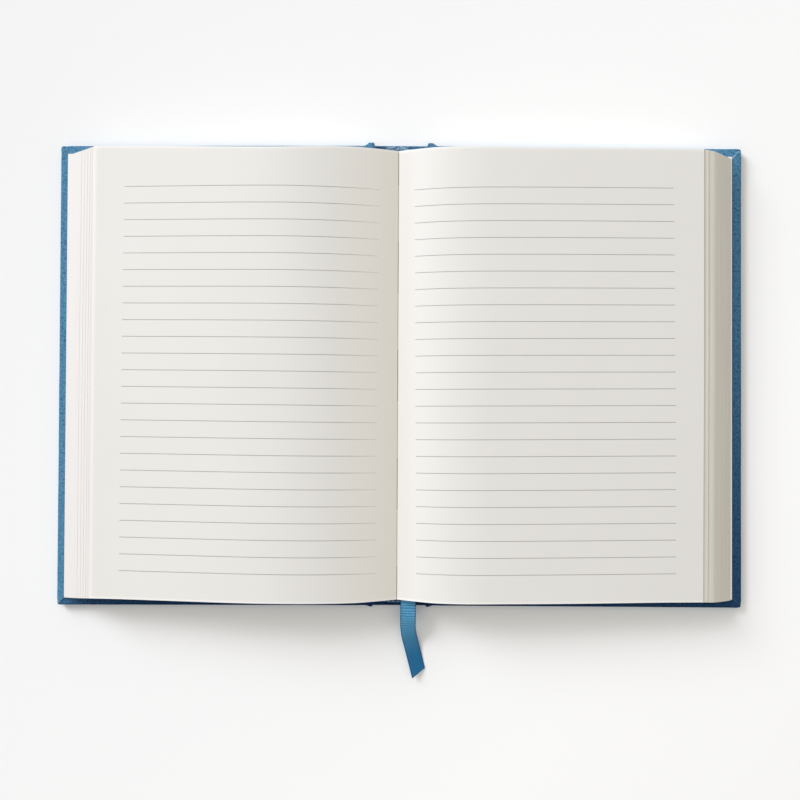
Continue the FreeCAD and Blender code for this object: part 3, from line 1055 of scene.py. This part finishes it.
def clothEnd(x, size, end=0):
    # Section at the head (0) or the foot (1), from the turn-in's rim: (inset from the case's edge, height)
    roll = (eased(x, *size["rollStart"]) * (1.0 - eased(x, *size["rollTaper"][end]))) ** size["rollPower"]
    dropFrom, dropTo, riseFrom, riseTo = size["jointFold"]
    drop = eased(x, dropFrom, dropTo) * (1.0 - eased(x, riseFrom, riseTo))
    high = size["spineTop"] + (size["coverTop"] - size["spineTop"]) * eased(x, *size["boardStep"])
    drop *= size["foldLevel"] - high
    points = [(inset, high + drop * eased(inset, *size["foldOver"])) for inset in size["turnIn"]]
    bend = size["edgeRound"]
    nose = [(bend - bend * math.sin(a), high - bend + bend * math.cos(a)) for a in (0.0, 0.52, 1.05, math.pi / 2)]
    nose += [(0.0, high * share) for share in (0.65, 0.5, 0.35)]
    nose += [(inset, high - z) for inset, z in reversed(nose[:4])]
    for i, (inset, z) in enumerate(nose):
        a = math.pi / 2 - math.pi * i / (len(nose) - 1)
        rollInset = high / 2 - size["rollOut"][end] * roll - high / 2 * math.cos(a)
        rollZ = high / 2 + high / 2 * math.sin(a)
        points.append((inset + (rollInset - inset) * roll, z + (rollZ - z) * roll))
    return points + [(inset, 0.0) for inset in size["underside"]]


def spring(x, y, size):
    towardsHead = (y + size["halfCase"]) / (2 * size["halfCase"])
    most = size["footSpring"] + (size["headSpring"] - size["footSpring"]) * towardsHead
    return (1.0 - abs(x) / size["foreEdge"]) * most


def clothShade(x, y, z, facing, size):
    # How much shade is painted on the turned-in cloth at a point, and how much paler it is in streaks of wear and
    # painted highlight
    shades = size["paintedTurnInShade"]
    if z <= 0.7 or facing <= -0.3:
        return 0.0, 0.0
    if abs(y) <= size["turnInY"]:
        return along(shades["fore"], y) if x > size["turnInX"] else 0.0, 0.0
    shade = along(shades["head" if y > 0 else "foot"], x)
    if abs(x) > size["turnInX"] and size["foreEdge"] - abs(x) < size["halfCase"] - abs(y):
        shade = along(shades["fore"], y) if x > 0 else 0.0
    paler = 0.0
    if y > 103.0:
        start, stop, streak = size["headStreaks"]
        inside = eased(x, start - 1.5, start + 1.0) * (1.0 - eased(x, stop - 1.0, stop + 1.5))
        edge = size["streaksFrom"]
        # worn cloth with a painted highlight, only on faces that look up
        paler = inside * streak * eased(y, edge, edge + 1.0) * eased(facing, 0.3, 0.8)
        # painted shade in the gap between the head of the leaves and the cloth
        shade = max(shade, inside * (1.0 - eased(y, edge - 0.2, edge + 0.8)))
    return shade * eased(facing, 0.0, 0.4), paler


def finishCloth(name, body, size):
    # Wavers a little, as glued cloth does, then gets its thickness on the inside
    bmesh.ops.recalc_face_normals(body, faces=body.faces)
    shadeLayer = body.verts.layers.float.new("tucked")
    cutLayer = body.verts.layers.float["cutEdge"]
    lowest = min(body.faces, key=lambda face: face.calc_center_median().z)
    if lowest.normal.z > 0:
        bmesh.ops.reverse_faces(body, faces=body.faces)
    body.normal_update()
    for vertex in body.verts:
        co = vertex.co / mm
        fromCorner = math.hypot(abs(co.x) - size["foreEdge"], abs(co.y) - size["halfCase"])
        nearCorner = 1.0 - eased(fromCorner, *size["cornerOver"])
        amount = size["waver"] + (size["cornerWaver"] - size["waver"]) * nearCorner
        rollShade = 0.0
        if abs(co.y) > size["halfCase"] + 0.2:  # the rolls are lumpy, with painted shade towards the spine
            amount = size["rollWaver"]
            rollShade = size["rollShade"] * (1.0 - eased(abs(co.x), *size["rollDark"]))
        if co.z < 0.3:
            amount *= 0.1
        # painted shade on the turn-ins and rolls; paler streaks of wear and painted highlight at the head
        shade, paler = clothShade(*co, vertex.normal.z, size)
        vertex[shadeLayer] = max(shade, rollShade)
        vertex[cutLayer] = max(vertex[cutLayer], paler)
        wave = noise.noise(co * 0.35) + 0.6 * noise.noise(co * 1.1)
        vertex.co += vertex.normal * (min(0.6, wave) * amount * mm)
        vertex.co.y += spring(co.x, co.y, size) * mm
        vertex.co.z = max(vertex.co.z, 0.0)
    wall = {"thickness": size["thickness"] * mm, "offset": -1.0, "use_even_offset": True}
    mesh = bakeModifier(name, closeMesh(name, body), "SOLIDIFY", wall)
    smoothFaces(mesh, 38.0)
    return mesh


class ClothSkin:
    # A sheet that is put together from rows of points; points in the same place are one
    def __init__(self):
        self.body = bmesh.new()
        self.known = {}
        self.cut = self.body.verts.layers.float.new("cutEdge")

    def point(self, x, y, z, cut=0.0):
        key = (round(x * 200), round(y * 200), round(z * 200))
        if key not in self.known:
            self.known[key] = self.body.verts.new((x * mm, y * mm, z * mm))
        self.known[key][self.cut] = max(cut, self.known[key][self.cut])
        return self.known[key]

    def rows(self, rows):
        for a, b in zip(rows, rows[1:]):
            for i in range(len(a) - 1):
                corners = list(dict.fromkeys((a[i], a[i + 1], b[i + 1], b[i])))
                if len(corners) > 2 and not self.body.faces.get(corners):
                    self.body.faces.new(corners)

    def cross(self, start, end, count, size):
        # Rows from the head turn-in's rim, round the head, under the case and round the foot
        rows = []
        for i in range(count + 1):
            x = start + (end - start) * i / count
            head, foot = clothEnd(abs(x), size, 0), clothEnd(abs(x), size, 1)
            places = [(size["halfCase"] - inset, z) for inset, z in head]
            places += [(y, 0.0) for y in (75, 50, 25, 0, -25, -50, -75)]
            places += [(inset - size["halfCase"], z) for inset, z in reversed(foot)]
            rows.append([self.point(x, y, z) for y, z in places])
        self.rows(rows)

    def finish(self, name, cover, node, size):
        return makePiece(name, finishCloth(name, self.body, size), ["bookCloth"], cover, node)


def makeSpineCloth(size):
    skin = ClothSkin()
    skin.cross(-size["spineEnd"], size["spineEnd"], size["spineColumns"], size)
    skin.finish("spineBookCloth", "text_block", "spine_cloth", size)


def makeJointCloth(name, side, cover, size):
    skin = ClothSkin()
    skin.cross(side * size["spineEnd"], side * size["coverStart"], size["jointColumns"], size)
    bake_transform(skin.finish(name, None, None, size), "text_block", cover,
             start=(side * size["blendFrom"] * mm, 0.0, 0.0), end=(side * size["blendTo"] * mm, 0.0, 0.0))


def coverHalfRow(side, end, inset, z, onTop, size):
    # From the joint along the head or the foot, round the corner and down the fore-edge
    foreEdge, halfCase, levelX, levelY = [size[key] for key in ("foreEdge", "halfCase", "levelX", "levelY")]
    reach = max(inset, size["cornerRound"])
    lap = lift = cut = 0.0
    if onTop:
        lap = size["mitreLap"] * eased(inset, *size["lapOver"])
        lift = size["mitreLift"] * eased(inset, *size["liftOver"]) * (1.0 - eased(inset, *size["liftEnd"]))
        cut = size["mitreCut"][side, end] if inset > 0.8 else 0.0
    xs = [size["coverStart"], 20.0, 24.0] + [30.0 + 10.0 * i for i in range(11)] + [levelX]
    xs += [levelX + (foreEdge - reach - levelX) * t for t in (0.35, 0.65, 0.85, 0.95)]
    row = [(x, halfCase - inset, z, 0.0) for x in xs]
    turns = size["cornerSteps"]
    for t in range(turns):
        angle = math.pi / 2 * t / (turns - 1)
        x = foreEdge - reach + (reach - inset) * math.sin(angle)
        y = halfCase - reach + (reach - inset) * math.cos(angle)
        row.append((x - lap, y + lap, z, 0.0) if t <= turns // 2 else (x, y, z + lift, cut))
    down = halfCase - reach - levelY
    for t in (0.03, 0.1, 0.25, 0.5, 0.75):
        height = z + lift * (1 - eased(down * t, 0.0, 5.0))
        row.append((foreEdge - inset, halfCase - reach - down * t, height, 0.0))
    return [(side * x, end * y, z, cut) for x, y, z, cut in row]


def makeCoverCloth(name, side, cover, node, size):
    skin = ClothSkin()
    foreEdge, halfCase, levelY = size["foreEdge"], size["halfCase"], size["levelY"]
    rows = []
    for k, (inset, z) in enumerate(clothEnd(40.0, size)):
        head, foot = [coverHalfRow(side, end, inset, z, k < len(size["turnIn"]), size) for end in (1, -1)]
        level = [(side * (foreEdge - inset), levelY - 10.0 * i, z, 0.0) for i in range(17)]
        rows.append([skin.point(*place) for place in head + level + foot[::-1]])
    skin.rows(rows)
    inner = size["underside"][-1]
    last = [(round(vertex.co.x / mm, 4), round(vertex.co.y / mm, 4)) for vertex in rows[-1]]
    xs = sorted({abs(x) for x, y in last if abs(abs(y) - (halfCase - inner)) < 0.001})
    ys = sorted({y for x, y in last if abs(abs(x) - (foreEdge - inner)) < 0.001})
    skin.rows([[skin.point(side * x, y, 0.0) for x in xs] for y in ys])
    skin.finish(name, cover, node, size)


makeSpineCloth(caseCloth)
for name, side, cover in (("front", -1, "front_cover"), ("back", 1, "back_cover")):
    makeJointCloth(name + "JointCloth", side, cover, caseCloth)
    makeCoverCloth(name + "BookCloth", side, cover, name + "_cover_cloth", caseCloth)
print("book cloth made")


# Head band and tail band: silk worked over a core, on a tape that is glued to the back of the leaves

bands = {
    "reach": 10.1,
    "middle": 105.62,  # of the bead, from the middle of the page
    "beadLift": 0.30,
    "beadWide": 0.48,
    "beadHigh": 0.44,
    "beadSteps": 60,
    "threadRadius": 0.15,
    "loosen": (0.92, 1.06),  # how much the loops differ in size
    "pitch": 0.27,
    "perColor": 4,
    "tape": (95.0, 105.25),
    "tapeThickness": 0.22,
    "tapeSteps": 20,
}


def makeCircle(t, resolution, radius):
    return t.step("GeometryNodeCurvePrimitiveCircle", Resolution=resolution, Radius=radius).outputs[0]


def makeTube(t, path, profile, caps=False):
    tube = t.step("GeometryNodeCurveToMesh", Curve=path, Profile_Curve=profile, Fill_Caps=caps)
    return tube.outputs[0]


def joinDressed(t, first, second, material, **moves):
    # Joins two parts, moves them and gives them their material
    both = t.step("GeometryNodeJoinGeometry")
    for part in (first, second):
        t.plug(part, both.inputs[0])
    laid = t.step("GeometryNodeTransform", Geometry=both.outputs[0], **moves)
    solid = t.step("GeometryNodeRealizeInstances", Geometry=laid.outputs[0])
    dressed = t.step("GeometryNodeSetMaterial", Geometry=solid.outputs[0], Material=material)
    return t.done(Geometry=dressed.outputs[0])


def makeBandTree(size):
    t = Group("workedBand", "GeometryNodeTree", [
        ("Geometry", "Geometry", None), ("Bead Wide", "Float", 0.0005), ("Bead High", "Float", 0.0005),
        ("Thread Radius", "Float", 0.0001), ("Pitch", "Float", 0.0003), ("Per Color", "Int", 4), ("Seed", "Int", 3),
        ("Silk", "Material", None)], [("Geometry", "Geometry")])
    given = t.given
    path = t.step("GeometryNodeMeshToCurve", Mesh=given["Geometry"]).outputs[0]
    loops = t.step("GeometryNodeResampleCurve", {"mode": "LENGTH"}, Curve=path, Length=given["Pitch"]).outputs[0]
    bead = t.step("ShaderNodeCombineXYZ", X=given["Bead High"], Y=given["Bead Wide"], Z=1.0).outputs[0]
    ring = t.step("GeometryNodeTransform", Geometry=makeCircle(t, 12, 1.0), Scale=bead).outputs[0]
    wrap = makeTube(t, ring, makeCircle(t, 5, given["Thread Radius"]))
    points = t.step("GeometryNodeCurveToPoints", {"mode": "EVALUATED"}, Curve=loops).outputs
    loosen = t.step("FunctionNodeRandomValue", {"data_type": "FLOAT"}, Seed=given["Seed"])
    loosen.inputs[2].default_value, loosen.inputs[3].default_value = size["loosen"]
    wraps = t.step("GeometryNodeInstanceOnPoints", Points=points["Points"], Instance=wrap,
                   Rotation=points["Rotation"], Scale=loosen.outputs[1])
    part = t.calc("FLOOR", t.over(t.step("GeometryNodeInputIndex").outputs[0], given["Per Color"]))
    toned = t.step("GeometryNodeStoreNamedAttribute", {"data_type": "FLOAT", "domain": "INSTANCE"},
                   Geometry=wraps.outputs[0], Name="threadTone", Value=t.calc("MODULO", part, 2.0))
    coreShape = t.step("GeometryNodeTransform", Geometry=makeCircle(t, 10, 1.0), Scale=bead).outputs[0]
    return joinDressed(t, toned.outputs[0], makeTube(t, loops, coreShape, True), given["Silk"])


def makeBand(name, node, end, tree, size):
    steps, beadSteps = size["tapeSteps"], size["beadSteps"]
    line = archRow(size["reach"], size["beadLift"], end * size["middle"], beadSteps)
    base = bpy.data.meshes.new(name + "Path")
    base.from_pydata(line, [(i, i + 1) for i in range(beadSteps)], [])
    mesh = bakeModifier(name, base, "NODES", {"node_group": tree}, {
        "Bead Wide": size["beadWide"] * mm, "Bead High": size["beadHigh"] * mm, "Silk": finishes["bandThread"],
        "Thread Radius": size["threadRadius"] * mm, "Pitch": size["pitch"] * mm, "Per Color": size["perColor"]})
    body = bmesh.new()
    body.from_mesh(mesh)
    grid = [[body.verts.new(point) for point in archRow(size["reach"], offset, end * y, steps)]
            for offset in (0.0, -size["tapeThickness"]) for y in size["tape"]]
    for a, b in ((0, 1), (1, 3), (3, 2), (2, 0)):
        for i in range(steps):
            body.faces.new([grid[a][i], grid[b][i], grid[b][i + 1], grid[a][i + 1]])
    for i in (0, steps):
        body.faces.new([grid[k][i] for k in (0, 1, 3, 2)])
    bmesh.ops.recalc_face_normals(body, faces=body.faces)
    closeMesh(name, body, mesh)
    smoothFaces(mesh, 50.0)
    mesh.materials.clear()
    makePiece(name, mesh, ["bandThread"], "text_block", node)


bandTree = makeBandTree(bands)
makeBand("headBandSilk", "head_band", 1, bandTree, bands)
makeBand("tailBandSilk", "tail_band", -1, bandTree, bands)
print("bands made")


# Sewing thread in the middle fold: two strands twisted together

sewing = {
    "count": 4,
    "length": 25.0,
    "pitch": 50.4,
    "x": -1.1,
    "z": 9.72,
    "strandRadius": 0.105,
    "twistRadius": 0.095,
    "turns": 26.0,
    "steps": 10,
}


def makeThreadTree():
    t = Group("twistedThread", "GeometryNodeTree", [
        ("Geometry", "Geometry", None), ("Length", "Float", 0.025), ("Strand Radius", "Float", 0.0001),
        ("Twist Radius", "Float", 0.0001), ("Turns", "Float", 20.0), ("Steps", "Int", 10),
        ("Place", "Vector", None), ("Thread", "Material", None)], [("Geometry", "Geometry")])
    given = t.given
    twist = given["Twist Radius"]
    spiral = t.step("GeometryNodeCurveSpiral", Resolution=given["Steps"], Rotations=given["Turns"],
                    Start_Radius=twist, End_Radius=twist, Height=given["Length"]).outputs[0]
    strand = makeTube(t, spiral, makeCircle(t, 6, given["Strand Radius"]), True)
    other = t.step("GeometryNodeTransform", Geometry=strand, Rotation=(0.0, 0.0, math.pi)).outputs[0]
    return joinDressed(t, strand, other, given["Thread"], Translation=given["Place"],
                       Rotation=(-math.pi / 2, 0.0, 0.0))


def makeStitches(size):
    tree = makeThreadTree()
    for number in range(size["count"]):
        name = "sewingThread%d" % (number + 1)
        start = (number - (size["count"] - 1) / 2) * size["pitch"] - size["length"] / 2
        mesh = bakeModifier(name, bpy.data.meshes.new(name + "Path"), "NODES", {"node_group": tree}, {
            "Length": size["length"] * mm, "Strand Radius": size["strandRadius"] * mm, "Turns": size["turns"],
            "Twist Radius": size["twistRadius"] * mm, "Steps": size["steps"], "Thread": finishes["sewingThread"],
            "Place": (size["x"] * mm, start * mm, size["z"] * mm)})
        smoothFaces(mesh, 60.0)
        mesh.materials.clear()
        makePiece(name, mesh, ["sewingThread"], "text_block", "stitch_%d" % (number + 1))


makeStitches(sewing)
print("sewing made")


# Lining of the back: open cotton, glued under the arch, with a flap down into each joint

backLining = {
    "halfLength": 93.0,
    "thickness": 0.2,
    "under": -0.12,  # the arch
    "flap": [(12.2, 3.32), (12.7, 2.85), (12.7, 1.9), (12.7, 0.95), (12.85, 0.64), (13.2, 0.52), (14.2, 0.52)],
    "archSteps": 22,
    "steps": 48,
    "ragged": 0.35,
    "sway": 0.05,
}


def makeBackLining(size):
    arch = [point / mm for point in archRow(leaves["backHalf"], size["under"], 0.0, size["archSteps"])]
    path = [(-x, z) for x, z in reversed(size["flap"])] + [(point.x, point.z) for point in arch] + size["flap"]
    steps = size["steps"]
    body = bmesh.new()
    rows = []
    for i in range(steps + 1):
        row = []
        for x, z in path:
            y = size["halfLength"] * (2 * i / steps - 1)
            if i in (0, steps):
                y -= math.copysign(size["ragged"] * (0.5 + noise.noise(Vector((x * 1.9, y, 2.0)))), y)
            sway = size["sway"] * noise.noise(Vector((x * 0.3, y * 0.12, z)))
            row.append(body.verts.new(Vector((x + sway, y, z + 0.3 * abs(sway))) * mm))
        rows.append(row)
    for a, b in zip(rows, rows[1:]):
        for j in range(len(path) - 1):
            body.faces.new([a[j], a[j + 1], b[j + 1], b[j]])
    bmesh.ops.recalc_face_normals(body, faces=body.faces)
    wall = {"thickness": size["thickness"] * mm, "offset": 0.0}
    mesh = bakeModifier("backLining", closeMesh("backLining", body), "SOLIDIFY", wall)
    smoothFaces(mesh)
    makePiece("backLining", mesh, ["mull"], "text_block", "spine_lining")


makeBackLining(backLining)
print("lining made")


# Finishes for the solids that stay as they are

keptNodes = {
    "front_flyleaf": "endpaper", "front_pastedown": "endpaper",
    "front_board": "greyBoard", "back_board": "greyBoard", "spine_board": "greyBoard",
}

for node, finish in keptNodes.items():
    mesh = cadNodes[node].data
    mesh.materials.clear()
    mesh.materials.append(finishes[finish])
print("kept solids finished")


# Back endpaper: cut a little shorter at the fore-edge than the solid

backEndpaper = {
    "cutBack": 1.1,
    "edgeFrom": 150.0,
}


def makeBackEndpaper(name, node, body, size):
    mesh = cadNodes[node].data.copy()
    mesh.name = name
    mesh.materials.clear()
    for vertex in mesh.vertices:
        if vertex.co.x > size["edgeFrom"] * mm:
            vertex.co.x -= size["cutBack"] * mm
    makePiece(name, mesh, ["endpaper"], body, node)


makeBackEndpaper("backFlyleaf", "back_flyleaf", "text_block", backEndpaper)
makeBackEndpaper("backPastedown", "back_pastedown", "back_cover", backEndpaper)
print("back endpaper made")
